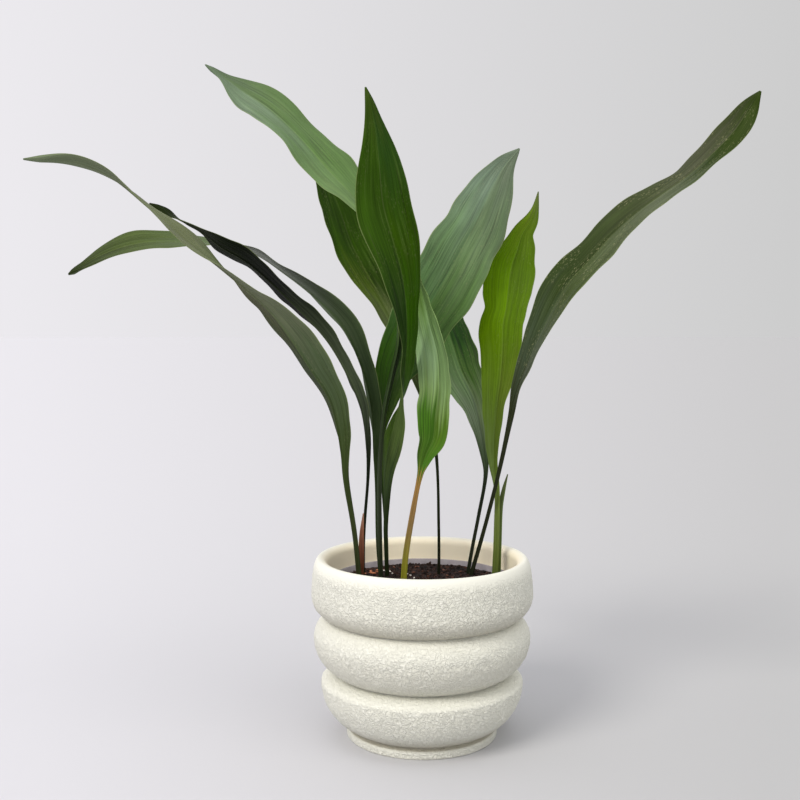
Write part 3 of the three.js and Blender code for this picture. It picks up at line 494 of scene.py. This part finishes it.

# Rows run from the foot up: midrib x, y, z, half width, and turn about the midrib in degrees.
# neck is the row where the blade starts, fold the rise of each half at base, middle and tip,
# wave the edge's height, count and phase, and look the cuticle's roughness, sheen, streaking
# and speckle. Tones run along the leaf, as (share of the length, left half, right half), for
# the upper side and for the underside. They hold painted light: pale greys where sheen and
# reflection are painted in, and darker stops where a half or fold turned from the light is
# painted in shade.
LEAVES = {
    "leaf_front_left": dict(
        neck=3, fold=(20, 5, 5), wave=(1.6, 3.5, 0.4), look=(0.42, 0.06, 0.4, 0.15),
        rows=[
            (-51, -12, ROOT_DEPTH, 2.6, -90), (-55, -13, 137, 2.6, -90), (-60, -15, 186, 2.5, -95),
            (-67, -20, 231, 3.4, -110), (-70, -25, 258, 8, -117), (-74, -33, 285, 15.5, -119),
            (-80, -42, 307, 22, -120), (-93, -52, 329, 27.5, -121), (-109, -66, 356, 30.5, -120),
            (-124, -82, 378, 30, -111), (-143, -96, 397, 28, -103), (-161, -107, 413, 26, -94),
            (-185, -120, 433, 24, -78), (-212, -131, 458, 20, -89), (-239, -140, 480, 14.5, -105),
            (-268, -147, 490, 6.5, -118), (-299, -152, 490, 0.5, -115),
        ],
        # The grey-olive stops are partly the paler underside and partly painted sheen.
        upper=[(0, "#23281a"), (0.6, "#5c6a45"), (0.75, "#6e7652"), (1, "#5f6c4c")],
        under=[(0, "#29291a"), (0.3, "#35441e", "#323d1f"), (0.45, "#4d5d3d", "#293812"),
               (0.58, "#636b4f", "#444727"), (0.75, "#5a6041"), (1, "#6e7a60")],
    ),
    "leaf_left": dict(
        neck=4, fold=(20, 5, 4), wave=(1.4, 3, 1.1), look=(0.4, 0.02, 0.4, 0.0),
        rows=[
            (-54, 0, ROOT_DEPTH, 1.9, -90), (-53, -1, 136, 1.8, -90), (-52, -2, 183, 1.6, -95),
            (-48, -4, 239, 1.7, -100), (-49, -8, 276, 4, -108), (-58, -14, 309, 11.5, -112),
            (-81, -21, 353, 20.5, -108), (-111, -28, 386, 25, -106), (-146, -36, 419, 27, -107),
            (-172, -42, 435, 22, -107), (-187, -46, 447, 16, -97), (-206, -52, 457, 9, -90),
            (-216, -55, 463, 5, -62), (-228, -58, 469, 0.5, -60),
        ],
        upper=[(0, "#1a2014"), (0.5, "#1c2812"), (1, "#212b11")],
        # Painted shade: the near-black stops and the dark right half stand for the underside in shade.
        under=[(0, "#1a2014"), (0.3, "#1a2114"), (0.42, "#454f3c"), (0.5, "#5c694e", "#20261a"),
               (0.6, "#465039", "#12160c"), (0.72, "#030801"), (1, "#172006")],
    ),
    "leaf_left_drooping": dict(
        neck=4, fold=(20, 5, 4), wave=(1.5, 3.5, 2.2), look=(0.42, 0.05, 0.4, 0.1),
        rows=[
            (-35, 12, ROOT_DEPTH, 2.1, -100), (-37, 12, 134, 2, -100), (-40, 12, 173, 1.9, -110),
            (-41, 10, 228, 2, -120), (-42, 6, 261, 4, -125), (-45, 0, 299, 12.5, -123),
            (-53, -1, 331, 19.5, -114), (-70, 0, 367, 26, -109), (-96, 6, 394, 29, -103),
            (-123, 13, 415, 30, -95), (-149, 17, 432, 30, -91), (-180, 16, 441, 29, -81),
            (-228, 8, 443, 26, -71), (-255, 1, 440, 22.5, -59), (-280, -6, 431, 15.5, -53),
            (-310, -14, 412, 0.5, -50),
        ],
        upper=[(0, "#26301a"), (0.4, "#26371a"), (0.72, "#536541"), (0.85, "#4c5c2d"),
               (1, "#222c0c")],
        under=[(0, "#222a18"), (0.3, "#384a28"), (0.42, "#36482a"), (0.52, "#586a48"),
               (0.66, "#80857a"), (1, "#5b6848")],
    ),
    "leaf_tall": dict(
        neck=5, fold=(25, 8, 5), wave=(1.6, 3.5, 0.9), look=(0.4, 0.2, 0.5, 0.1),
        rows=[
            (-36, -12, ROOT_DEPTH, 2.2, -40), (-37, -14, 135, 2.2, -40), (-38, -18, 188, 2.1, -45),
            (-38, -21, 237, 2.1, -50), (-34, -20, 290, 2.2, -55), (-27, -13, 325, 3, -58),
            (-21, -12, 353, 4.5, -60), (-22, -9, 380, 9, -60), (-30, -2, 410, 14, -58),
            (-40, 11, 451, 21.5, -58), (-60, 26, 482, 26, -54), (-87, 42, 512, 29, -46),
            (-116, 62, 546, 29, -52), (-144, 76, 573, 26, -45), (-172, 88, 593, 16.5, -35),
            (-191, 96, 608, 6.5, -45), (-209, 102, 621, 0.5, -50),
        ],
        # Painted sheen: the pale grey-green stops from the middle to the tip.
        upper=[(0, "#222a1a"), (0.28, "#283519"), (0.38, "#23390f"), (0.6, "#69874b", "#5e7c46"),
               (0.75, "#5c7a48", "#517037"), (0.88, "#6c8265", "#566f42"), (1, "#56684f")],
    ),
    "leaf_middle": dict(
        neck=3, fold=(20, 4, 3), wave=(1.2, 3, 0.2), look=(0.4, 0.05, 0.6, 0.08),
        rows=[
            (-31, 34, ROOT_DEPTH, 2.1, -120), (-32, 26, 140, 2, -120), (-33, 15, 180, 2.1, -122),
            (-32, 4, 211, 3.2, -126), (-32, -6, 240, 8, -130), (-28, -12, 263, 11, -142),
            (-23, -17, 283, 11.5, -122), (-18, -21, 305, 12, -91), (-16, -24, 325, 12.5, -71),
            (-14, -32, 355, 15.5, -64), (-15, -40, 385, 19, -51), (-19, -47, 414, 22, -37),
            (-28, -54, 446, 24, -24), (-34, -58, 469, 24.3, -15), (-37, -63, 501, 18.5, -14),
            (-40, -67, 527, 9.8, -20), (-44, -70, 546, 4.6, -20), (-48, -72, 561, 0.5, -20),
        ],
        upper=[(0, "#1e2414"), (0.5, "#2a4310", "#3d6017"), (0.6, "#1e3610", "#315704"),
               (0.72, "#32500d", "#304d02"), (0.9, "#304d09", "#274412"), (1, "#3c5018")],
        under=[(0, "#1e2414"), (0.25, "#364729"), (0.36, "#4b5e2e", "#445f1c"), (1, "#3d4f26")],
    ),
    "leaf_broad": dict(
        neck=4, fold=(30, 8, 5), wave=(1.5, 3.5, 1.6), look=(0.4, 0.16, 0.7, 0.12),
        rows=[
            (-31, 48, ROOT_DEPTH, 2, -10), (-32, 44, 134, 1.9, -10), (-33, 36, 178, 1.8, -10),
            (-36, 25, 226, 1.9, -10), (-37, 15, 269, 3.4, -12), (-32, 11, 301, 11, -14),
            (-25, 12, 331, 21, -14), (-9, 17, 361, 28.5, -12), (9, 22, 389, 31, -10),
            (23, 28, 412, 31.5, -8), (36, 33, 436, 31.5, -6), (51, 42, 463, 28, -5),
            (65, 52, 493, 21.5, -5), (77, 60, 516, 11.5, -5), (93, 68, 535, 0.5, -5),
        ],
        # Painted light: one half is brighter and the other darker as each faces the light, and the
        # grey stops at the tip are painted sheen.
        upper=[(0, "#22301a"), (0.36, "#2c4710", "#4a6721"), (0.5, "#416f11", "#1e3f08"),
               (0.62, "#5a7f48", "#527536"), (0.75, "#658258", "#617a51"),
               (0.9, "#728771", "#5b6c53"), (1, "#6d7b66")],
    ),
    "leaf_young": dict(
        neck=4, fold=(25, 20, 20), wave=(0.8, 2.5, 0.5), look=(0.4, 0.14, 0.8, 0.0),
        rows=[
            (-19, -24, ROOT_DEPTH, 3, 0), (-17, -24, 136, 3, 0), (-15, -24, 165, 2.9, 0),
            (-9, -25, 203, 2.7, 0), (-2, -27, 239, 3, 5), (3, -28, 256, 8.5, 10),
            (9, -28, 270, 13, 15), (11, -27, 290, 16, 24), (14, -25, 316, 19, 40),
            (13, -22, 342, 21, 50), (6, -17, 371, 21, 58), (1, -12, 392, 18, 60),
            (-7, -6, 418, 11, 60), (-13, 0, 443, 0.5, 60),
        ],
        # Painted light: on the blade the darker green left half low down is painted shade, and the
        # pale grey-green stops higher up are painted reflection.
        upper=[(0, "#6b6a22"), (0.14, "#818024"), (0.24, "#876e44"), (0.365, "#95713a"),
               (0.385, "#48681c", "#38660e"),
               (0.5, "#37600a", "#456412"), (0.545, "#3c660c", "#6c8848"), (0.6, "#708c50", "#7a9660"),
               (0.7, "#8fae7e", "#80a168"), (0.85, "#6f9448", "#7fa35e"), (1, "#5f7d46")],
    ),
    "leaf_back": dict(
        neck=4, fold=(25, 10, 8), wave=(1.3, 3, 1.9), look=(0.4, 0.05, 0.8, 0.15),
        rows=[
            (15, 29, ROOT_DEPTH, 1.6, -30), (16, 30, 135, 1.5, -30), (16, 32, 179, 1.4, -30),
            (14, 38, 245, 1.6, -32), (7, 46, 284, 3.4, -36), (-4, 56, 317, 7.5, -38),
            (-18, 68, 355, 13.5, -38), (-35, 80, 390, 19, -38), (-53, 92, 421, 23, -38),
            (-69, 104, 452, 25, -38), (-81, 116, 487, 23, -38), (-94, 126, 519, 14.5, -38),
            (-112, 136, 547, 0.5, -38),
        ],
        upper=[(0, "#1c1b16"), (0.4, "#22300c"), (0.56, "#637043"), (0.66, "#4b6017", "#2d4409"),
               (0.75, "#2f4d01"), (1, "#284204")],
    ),
    "leaf_back_short": dict(
        neck=4, fold=(25, 8, 6), wave=(1.2, 3, 0.7), look=(0.4, 0.13, 0.8, 0.1),
        rows=[
            (42, 36, ROOT_DEPTH, 2, 10), (44, 37, 136, 1.9, 10), (48, 39, 160, 1.8, 10),
            (54, 42, 190, 1.8, 10), (61, 48, 228, 2.2, 12), (60, 56, 251, 5, 14),
            (57, 68, 275, 9.5, 14), (52, 80, 298, 16, 14), (40, 96, 325, 21, 14),
            (33, 112, 349, 21.5, 14), (26, 128, 373, 17.5, 14), (23, 140, 391, 11, 14),
            (18, 150, 405, 0.5, 14),
        ],
        # Painted reflection: the pale bluish stops low on the blade.
        upper=[(0, "#1a2012"), (0.34, "#222c18"), (0.42, "#46563a"), (0.55, "#75866a", "#7c9066"),
               (0.68, "#5b784a", "#42661f"), (0.8, "#44672d", "#194001"), (1, "#1d3c00")],
    ),
    "leaf_right": dict(
        neck=3, fold=(30, 10, 6), wave=(1.3, 3, 2.6), look=(0.42, 0.04, 0.2, 0.08),
        rows=[
            (64, 16, ROOT_DEPTH, 3.2, 35), (68, 18, 136, 3.4, 35), (70, 21, 187, 3, 38),
            (70, 25, 218, 2.8, 40), (67, 27, 245, 6, 42), (67, 28, 263, 9.5, 42),
            (70, 31, 298, 14.5, 42), (73, 34, 321, 18.5, 40), (75, 38, 349, 22, 34),
            (76, 42, 370, 23.5, 29), (79, 45, 384, 21, 25), (81, 49, 398, 23.5, 20),
            (85, 56, 424, 23.5, 15), (91, 61, 441, 17, 12), (96, 66, 455, 10.5, 10),
            (104, 71, 467, 7.5, 10), (109, 76, 479, 3.6, 10), (113, 84, 497, 0.4, 10),
        ],
        # Painted light: the left half is brightened near 0.8 of the length against the shadow of
        # leaf_broad, and the right half, turned back, is painted darker as shade.
        upper=[(0, "#3c4818"), (0.22, "#6d7d3e"), (0.35, "#718944", "#5c7424"),
               (0.5, "#627f21", "#5f7422"), (0.62, "#5b7d01", "#557410"),
               (0.8, "#608704", "#486506"), (0.92, "#5c7515", "#4d6511"), (1, "#566236")],
    ),
    "leaf_front_right": dict(
        neck=5, fold=(30, 8, 6), wave=(1.5, 3.5, 1.3), look=(0.42, 0.05, 0.4, 0.35),
        rows=[
            (42, 26, ROOT_DEPTH, 2.1, 30), (46, 26, 135, 2.1, 30), (54, 22, 166, 2, 35),
            (62, 18, 198, 1.9, 40), (71, 10, 239, 2, 45), (80, -1, 288, 3, 50),
            (85, -7, 314, 6.5, 56), (93, -12, 336, 12, 59), (104, -18, 363, 18, 56),
            (123, -27, 401, 23.5, 59), (141, -33, 422, 25, 60), (160, -40, 444, 26, 61),
            (178, -46, 461, 25.5, 66), (198, -53, 476, 24, 72), (217, -60, 490, 22, 70),
            (233, -66, 505, 17.5, 58), (252, -72, 526, 13, 38), (262, -76, 543, 8, 22),
            (270, -80, 556, 0.5, 20),
        ],
        upper=[(0, "#22261a"), (0.36, "#2d321d"), (0.45, "#3f4b37", "#505949"),
               (0.6, "#31401b", "#44512d"), (0.78, "#3e472a", "#565f46"), (0.88, "#4a4e39", "#2b3b11"),
               (1, "#334216")],
    ),
}


def row_at(rows, share, t):
    """Rows at shares t of the midrib: a cubic between rows, with the slope at each row taken
    from its two neighbours."""
    last = len(rows) - 1
    here = np.arange(last + 1)
    before, after = np.maximum(here - 1, 0), np.minimum(here + 1, last)
    slope = (rows[after] - rows[before]) / (share[after] - share[before])[:, None]
    i = np.clip(np.searchsorted(share, t, side="right") - 1, 0, last - 1)
    span = (share[i + 1] - share[i])[:, None]
    a = ((t - share[i]) / (share[i + 1] - share[i]))[:, None]
    return ((1 + 2 * a) * (1 - a) ** 2 * rows[i] + a * (1 - a) ** 2 * span * slope[i]
            + a ** 2 * (3 - 2 * a) * rows[i + 1] - a ** 2 * (1 - a) * span * slope[i + 1])


def unit(vectors):
    """Vectors divided by their lengths."""
    return vectors / np.linalg.norm(vectors, axis=-1, keepdims=True)


def eased(value, low, high):
    """0 below low, 1 above high, and 3t squared - 2t cubed between."""
    t = np.clip((value - low) / (high - low), 0, 1)
    return t * t * (3 - 2 * t)


def leaf_points(rows, neck, fold, wave, columns, stalk_rows, blade_rows, relief):
    """Rings of a leaf. With them, for each point: its place across (u from -1 to 1), its side
    (1 upper, 0 under) and its share of the length; then the length, and each point's half width.
    The midrib is carried along its rows with a frame turned about it. A point lies at half
    width times u across, raised by the fold and by the edge's wave, and half the thickness
    above or below that. Pleats, a groove over the midrib and a keel under it are added."""
    rows = np.array(rows, float)
    steps = np.linalg.norm(np.diff(rows[:, :3], axis=0), axis=1)
    share = np.concatenate([[0], np.cumsum(steps)]) / steps.sum()
    start = share[neck]
    tip = 0.9985
    t = np.concatenate([np.linspace(0, start, stalk_rows, endpoint=False),
                        start + (tip - start) * np.linspace(0, 1, blade_rows) ** 0.97])
    middle = row_at(rows, share, t)
    ahead, behind = (row_at(rows, share, np.clip(t + d, 0, 1))[:, :3] for d in (0.002, -0.002))
    along = unit(ahead - behind)
    side = unit(np.cross((0.0, 1.0, 0.0), along))
    face = np.cross(side, along)
    angle = np.radians(middle[:, 4, None])
    across_way = side * np.cos(angle) + face * np.sin(angle)
    face_way = face * np.cos(angle) - side * np.sin(angle)

    even = np.linspace(0, 1, columns // 2 + 1)
    half = even - 0.35 * np.sin(2 * np.pi * even) / (2 * np.pi)
    u = np.concatenate([-half[:0:-1], half])[None, :]
    width = middle[:, 3, None]
    q = np.maximum((t - start) / (1 - start), 0)[:, None]
    rise = np.radians(np.interp(q, [0, 0.5, 1], fold))
    blade = eased(width, STALK_HALF_WIDTH, 8)
    stalk = np.minimum(width, STALK_HALF_WIDTH)
    height, count, phase = wave
    ripple = height * np.sin(2 * np.pi * count * q + phase + 0.9 * np.sign(u)) * u ** 2
    ruffle = np.sin(2 * np.pi * 11 * q + 5 * phase + 2 * np.sign(u)) * u ** 6
    ripple = ripple + relief * RUFFLE_HEIGHT * ruffle
    drift = 0.3 * np.sin(5 * q + phase) + 0.15 * np.sin(13 * q)
    pleat = np.sin(2 * np.pi * (2.7 * np.abs(u) + drift)) + np.sin(2 * np.pi * (6.1 * u - drift))
    pleat = relief * PLEAT_DEPTH * pleat * eased(width, 9, 18) * (1 - u ** 8)
    rounding = 0.0012
    near = np.sqrt(u ** 2 + rounding) - np.sqrt(rounding)
    lift = width * near * np.sin(rise) + (ripple * np.minimum(width / 12, 1) + pleat) * blade
    wander = np.sin(2 * np.pi * 4.7 * q + 3 * phase + np.sign(u))
    wander = wander + 0.7 * np.sin(2 * np.pi * 8.3 * q + 7 * phase + 4 * np.sign(u))
    reach = width * u * (1 + relief * MARGIN_WANDER * wander * u ** 2 * blade)
    place = middle[:, None, :3] + across_way[:, None] * (reach * np.cos(rise))[..., None]
    place = place + face_way[:, None] * lift[..., None]

    edge = np.sqrt(1 - np.abs(u) ** 7 * 0.97)
    groove = relief * GROOVE_DEPTH * np.exp(-(u * width / GROOVE_WIDTH) ** 2) * blade
    keel = (KEEL_HEIGHT - KEEL_LOSS * q) * np.exp(-(u * width / KEEL_WIDTH) ** 2) * blade
    above = stalk * 0.70 * np.sqrt(1 - 0.83 * u ** 2) * (1 - blade)
    above = above + BLADE_HALF_THICKNESS * edge * blade - groove
    below = stalk * np.sqrt(1 - 0.91 * u ** 2) * (1 - blade)
    below = below + BLADE_HALF_THICKNESS * edge * blade + keel
    top = place + face_way[:, None] * above[..., None]
    bottom = place - face_way[:, None] * below[..., None]

    rings = np.concatenate([bottom[:, ::-1], top], axis=1)
    ring_u = np.concatenate([u[:, ::-1], u], axis=1) + 0 * width
    ring_side = np.concatenate([0 * u, 0 * u + 1], axis=1) + 0 * width
    ring_t = t[:, None] + 0 * ring_u
    return rings, ring_u, ring_side, ring_t, steps.sum(), width + 0 * ring_u


def tone_along(stops, t, u):
    """Linear colour from stops along the leaf, each with one colour, or with one for the left
    half and one for the right. The stops carry painted sheen and painted shade. Slow waves
    shift the stops, so that they don't show as bands."""
    shares = [stop[0] for stop in stops]
    moved = t + 0.018 * np.sin(9 * u + 4) + 0.012 * np.sin(23 * u)
    right = eased(u, -0.06, 0.06)[..., None]
    halves = []
    for half in (1, -1):
        table = np.array([srgb(stop[half])[:3] for stop in stops])
        halves.append(np.stack([np.interp(moved, shares, table[:, c]) for c in range(3)], -1))
    return halves[0] * (1 - right) + halves[1] * right


def cuticle(name, roughness, sheen, streaking, speckle):
    """Living leaf under a waxy cuticle: satin, with parallel veins, irregular dark and pale
    streaks, a pale margin and midrib, and small scuffs. The underside is duller. The
    finest veins are drawn a little coarser than life so that they show."""
    vein_mm, streak_mm, scuff_mm = 1.3, 1.9, 1.1
    material, tree, surface = new_material(name)
    tone = add(tree, "Attribute", attribute_name="tone").outputs["Color"]
    across = add(tree, "Attribute", attribute_name="across").outputs["Fac"]
    upper = add(tree, "Attribute", attribute_name="upper").outputs["Fac"]
    blade = add(tree, "Attribute", attribute_name="blade").outputs["Fac"]
    flat = add(tree, "UVMap", uv_map="leaf_metres").outputs[0]
    from_midrib = add(tree, "Math", {0: across}, operation="ABSOLUTE").outputs[0]

    # Noise that is drawn out along the leaf, from the width and length of its marks in mm.
    drawn = {}
    for key, width_mm, length_mm, detail, shift in (
            ("veins", vein_mm, 80, 2.0, 0.0), ("dark", streak_mm, 75, 1.0, 3.3),
            ("pale", streak_mm, 60, 1.0, 7.7), ("broad", 9, 110, 1.0, 5.1),
            ("patches", 24, 50, 3.0, 1.9), ("specks", scuff_mm, 3.2, 2.0, 9.9),
            ("worn", 15, 40, 2.0, 4.4)):
        scale = add(tree, "Mapping", {"Vector": flat, "Location": (shift, shift, 0),
                                      "Scale": (1 / (width_mm * MM), 1 / (length_mm * MM), 1)})
        drawn[key] = add(tree, "TexNoise", {"Vector": scale.outputs[0], "Scale": 1.0,
                                            "Detail": detail, "Roughness": 0.6},
                         noise_dimensions="2D").outputs["Fac"]

    # Each mark is eased from a range of what it is read from to a range of strength.
    marks = {}
    for key, source, low, high, to_low, to_high in (
            ("veins", drawn["veins"], 0.36, 0.64, 0.87, 1.09),
            ("dark", drawn["dark"], 0.57, 0.7, 1.0, 1 - 0.45 * streaking),
            ("broad", drawn["broad"], 0.3, 0.7, 1 - 0.14 * streaking, 1 + 0.12 * streaking),
            ("patches", drawn["patches"], 0.3, 0.7, 0.93, 1.07),
            ("margin", from_midrib, 0.962, 0.985, 0.0, 0.9),
            ("midrib", from_midrib, 0.012, 0.03, 0.22, 0.0),
            ("pale", drawn["pale"], 0.58, 0.74, 0.0, 0.22 * streaking),
            ("specks", drawn["specks"], 0.60, 0.68, 0.0, speckle),
            ("worn", drawn["worn"], 0.46, 0.62, 0.0, 1.0)):
        marks[key] = add(tree, "MapRange", {"Value": source, "From Min": low, "From Max": high,
                                            "To Min": to_low, "To Max": to_high},
                         interpolation_type="SMOOTHSTEP").outputs[0]

    # The shade multiplies the tone. Lines take the strongest of their marks, and lines and
    # scuffs show on the blade only.
    joined = {}
    for key, parts, operation in (
            ("shade", (marks["veins"], marks["dark"], marks["broad"], marks["patches"]), "MULTIPLY"),
            ("line", (marks["margin"], marks["midrib"], marks["pale"]), "MAXIMUM"),
            ("scuff", (marks["specks"], marks["worn"], blade), "MULTIPLY")):
        joined[key] = parts[0]
        for part in parts[1:]:
            joined[key] = add(tree, "Math", {0: joined[key], 1: part}, operation=operation).outputs[0]
    shade = joined["shade"]
    grey = add(tree, "CombineColor", {0: shade, 1: shade, 2: shade})
    body = add(tree, "MixRGB", {"Fac": 1.0, "Color1": tone, "Color2": grey.outputs[0]},
               blend_type="MULTIPLY").outputs[0]
    pale = add(tree, "MixRGB", {"Fac": 0.3, "Color1": body, "Color2": srgb("#a9b878")})
    line = add(tree, "Math", {0: joined["line"], 1: blade}, operation="MULTIPLY")
    lined = add(tree, "MixRGB", {"Fac": line.outputs[0], "Color1": body,
                                 "Color2": pale.outputs[0]})
    marked = add(tree, "MixRGB", {"Fac": joined["scuff"], "Color1": lined.outputs[0],
                                  "Color2": srgb("#a8a67c")})
    dulled = add(tree, "MapRange", {"Value": upper, "To Min": roughness + 0.14, "To Max": roughness})
    rough = add(tree, "Math", {0: drawn["veins"], 1: 0.12, 2: dulled.outputs[0]},
                operation="MULTIPLY_ADD")
    height = add(tree, "Math", {0: drawn["broad"], 1: 2.0, 2: drawn["veins"]},
                 operation="MULTIPLY_ADD")
    bump = add(tree, "Bump", {"Height": height.outputs[0], "Strength": 0.4, "Distance": 0.0004})
    finish = add(tree, "BsdfPrincipled", {
        "Base Color": marked.outputs[0], "Roughness": rough.outputs[0],
        "Specular IOR Level": sheen, "Normal": bump.outputs[0]})
    tree.links.new(finish.outputs[0], surface)
    return material


def with_ends(values):
    """Values of all rings in a row, between the means of the first ring and of the last."""
    return np.concatenate([values[:1].mean(1), values.ravel(), values[-1:].mean(1)])


def grow(name, leaf, columns, stalk_rows, blade_rows, relief):
    """Builds one leaf or sheath over its CAD node, with its tones and its lengthwise map."""
    rings, u, side, t, length, widths = leaf_points(
        leaf["rows"], leaf["neck"], leaf["fold"], leaf["wave"],
        columns, stalk_rows, blade_rows, relief)
    points, polygons = skin(rings, rings[0].mean(0), rings[-1].mean(0))
    material = cuticle(name + "_cuticle", *leaf["look"])
    piece = new_piece(name + "_grown", points, polygons, material, leaf.get("slot", name))
    u, side, t, width = with_ends(u), with_ends(side), with_ends(t), with_ends(widths)
    point_values(piece, "across", u)
    point_values(piece, "upper", side)
    point_values(piece, "blade", eased(width, 4, 9))
    # The tone holds the painted sheen and painted shade of the stops.
    tone = tone_along(leaf["upper"], t, u) * side[:, None]
    tone = tone + tone_along(leaf.get("under", leaf["upper"]), t, u) * (1 - side[:, None])
    colours = piece.data.attributes.new("tone", "FLOAT_COLOR", "POINT")
    colours.data.foreach_set("color", np.column_stack([tone, np.ones(len(tone))]).ravel())
    corners = np.empty(len(piece.data.loops), np.int32)
    piece.data.loops.foreach_get("vertex_index", corners)
    flat = np.stack([u * widths.max(), t * length], -1) * MM
    layer = piece.data.uv_layers.new(name="leaf_metres")
    layer.data.foreach_set("uv", flat[corners].ravel())
    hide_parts(name)


for leaf_name, leaf in LEAVES.items():
    grow(leaf_name, leaf, LEAF_COLUMNS, STALK_ROWS, BLADE_ROWS, 1.0)

# ---- Sheaths ------------------------------------------------------------------------------
# Scale leaves that wrap a young stalk: one has dried to red-brown paper between two stalks on
# the left, and one is still green beside the stalk on the right. They stand in the soil.

SHEATHS = {
    "sheath_brown": dict(
        neck=0, fold=(25, 25, 20), wave=(0, 1, 0), look=(0.6, 0.2, 0.5, 0.0),
        slot="dry_sheath",
        rows=[(-55, -7, 122, 2.2, 0), (-55, -7, 137, 2.8, 0), (-54.5, -7, 160, 2.9, 0),
              (-54, -7, 182, 2.2, 0), (-52.5, -7, 201, 0.5, 0)],
        upper=[(0, "#4a2a1c"), (0.4, "#6c3e28"), (0.8, "#94604a"), (1, "#b48a74")],
        under=[(0, "#4a2a1c"), (1, "#a06c56")],
    ),
    "sheath_green": dict(
        neck=0, fold=(25, 25, 20), wave=(0, 1, 0), look=(0.5, 0.2, 0.5, 0.0),
        slot="green_sheath",
        rows=[(70, 23, 122, 2.2, 35), (71, 24, 137, 2.8, 35), (72, 26, 165, 2.8, 35),
              (73.5, 28.5, 200, 2.4, 35), (76.5, 30, 217, 1.8, 35), (80, 31, 231, 0.5, 35)],
        upper=[(0, "#4e6222"), (0.5, "#5a6e30"), (1, "#586238")],
        under=[(0, "#4e6222"), (1, "#566838")],
    ),
}
SHEATH_COLUMNS, SHEATH_ROWS, SHEATH_RELIEF = 17, 60, 0.3
for sheath_name, sheath in SHEATHS.items():
    grow(sheath_name, sheath, SHEATH_COLUMNS, 0, SHEATH_ROWS, SHEATH_RELIEF)

# ---- Studio -------------------------------------------------------------------------------
# A wide matt floor under an even, pale studio. A broad soft light stands high in front, on the
# left, with a weaker one on the right, and the studio is a little brighter on the left.

# The floor is a mesh of rings whose radii grow evenly by share, round the smallest one.
FLOOR_INNER, FLOOR_RADIUS, FLOOR_ROWS, FLOOR_SIDES = 60, 60000, 70, 180
CAMERA_PLACE = (-19.8, -950, 363.5)
CAMERA_TILT = 86.28
LENS, SENSOR = 48, 36
# Colours of the air and of the floor on the left and on the right, and how far to each side
# they change, as the sine of the direction. The floor's darker right side is painted shade.
LEFT_PALE, RIGHT_PALE = "#eceaee", "#cdcdcd"
FLOOR_LEFT, FLOOR_RIGHT = "#d3d3d9", "#b6b7b9"
PALE_SPREAD = 0.34


def painted_floor():
    """Matt painted board, pale grey, darkened from left to right as painted shade."""
    material, tree, surface = new_material("matt_painted_board")
    share = add(tree, "Attribute", attribute_name="dull").outputs["Fac"]
    shade = add(tree, "MixRGB", {"Fac": share, "Color1": srgb(FLOOR_LEFT),
                                 "Color2": srgb(FLOOR_RIGHT)})
    finish = add(tree, "BsdfPrincipled", {"Base Color": shade.outputs[0], "Roughness": 0.95,
                                          "Specular IOR Level": 0.0})
    tree.links.new(finish.outputs[0], surface)
    return material


floor_radii = np.geomspace(FLOOR_INNER, FLOOR_RADIUS, FLOOR_ROWS)
floor_rings = turn(np.stack([floor_radii, 0 * floor_radii], -1), FLOOR_SIDES)
floor_ids = np.arange(floor_rings[..., 0].size).reshape(floor_rings.shape[:2])
floor_beside = np.roll(floor_ids, -1, axis=1)
floor_quads = np.stack([floor_ids[:-1], floor_ids[1:], floor_beside[1:], floor_beside[:-1]], -1)
floor_mesh = bpy.data.meshes.new("floor")
floor_mesh.from_pydata((floor_rings.reshape(-1, 3) * MM).tolist(), [],
                       floor_quads.reshape(-1, 4).tolist() + [floor_ids[0].tolist()])
floor_mesh.materials.append(painted_floor())
floor = bpy.data.objects.new("floor", floor_mesh)
bpy.context.scene.collection.objects.link(floor)
away = floor_rings.reshape(-1, 3) - (CAMERA_PLACE[0], CAMERA_PLACE[1], 0)
sideways = away[:, 0] / np.hypot(away[:, 0], away[:, 1])
# Painted shade: the floor darkens towards the right, following the room's light.
point_values(floor, "dull", np.clip(0.5 + 0.5 * sideways / PALE_SPREAD, 0, 1))


def soft_light(name, energy, size_deg, overhead_deg, round_deg):
    """Distant warm white light of that apparent size. It stands overhead_deg from straight up
    and round_deg from the front, positive to the right."""
    light = bpy.data.objects.new(name, bpy.data.lights.new(name, "SUN"))
    light.data.energy, light.data.angle = energy, np.radians(size_deg)
    light.data.color = srgb("#fffaf0")[:3]
    light.rotation_euler = (np.radians(overhead_deg), 0, np.radians(round_deg))
    bpy.context.scene.collection.objects.link(light)


soft_light("key", 1.68, 26, 50, -42)
soft_light("fill", 0.55, 60, 50, 40)

studio = bpy.data.worlds.new("studio")
studio.use_nodes = True
air = studio.node_tree
air.nodes.clear()
direction = add(air, "TexCoord").outputs["Generated"]
parts = add(air, "SeparateXYZ", {"Vector": direction})
dull = add(air, "MapRange", {"Value": parts.outputs[0], "From Min": -PALE_SPREAD,
                             "From Max": PALE_SPREAD})
pale = add(air, "MixRGB", {"Fac": dull.outputs[0], "Color1": srgb(LEFT_PALE),
                           "Color2": srgb(RIGHT_PALE)})
overhead = add(air, "MapRange", {"Value": parts.outputs[2], "From Min": 0.4, "From Max": 1.0,
                                 "To Min": 1.0, "To Max": 1.35}, interpolation_type="SMOOTHSTEP")
room = add(air, "Background", {"Color": pale.outputs[0], "Strength": overhead.outputs[0]})
add(air, "OutputWorld", {"Surface": room.outputs[0]})
bpy.context.scene.world = studio
bpy.context.scene.view_settings.view_transform = "Standard"

camera = bpy.data.objects.new("camera", bpy.data.cameras.new("camera"))
bpy.context.scene.collection.objects.link(camera)
camera.data.lens, camera.data.sensor_width = LENS, SENSOR
camera.location = [value * MM for value in CAMERA_PLACE]
camera.rotation_euler = (np.radians(CAMERA_TILT), 0, 0)
bpy.context.scene.camera = camera
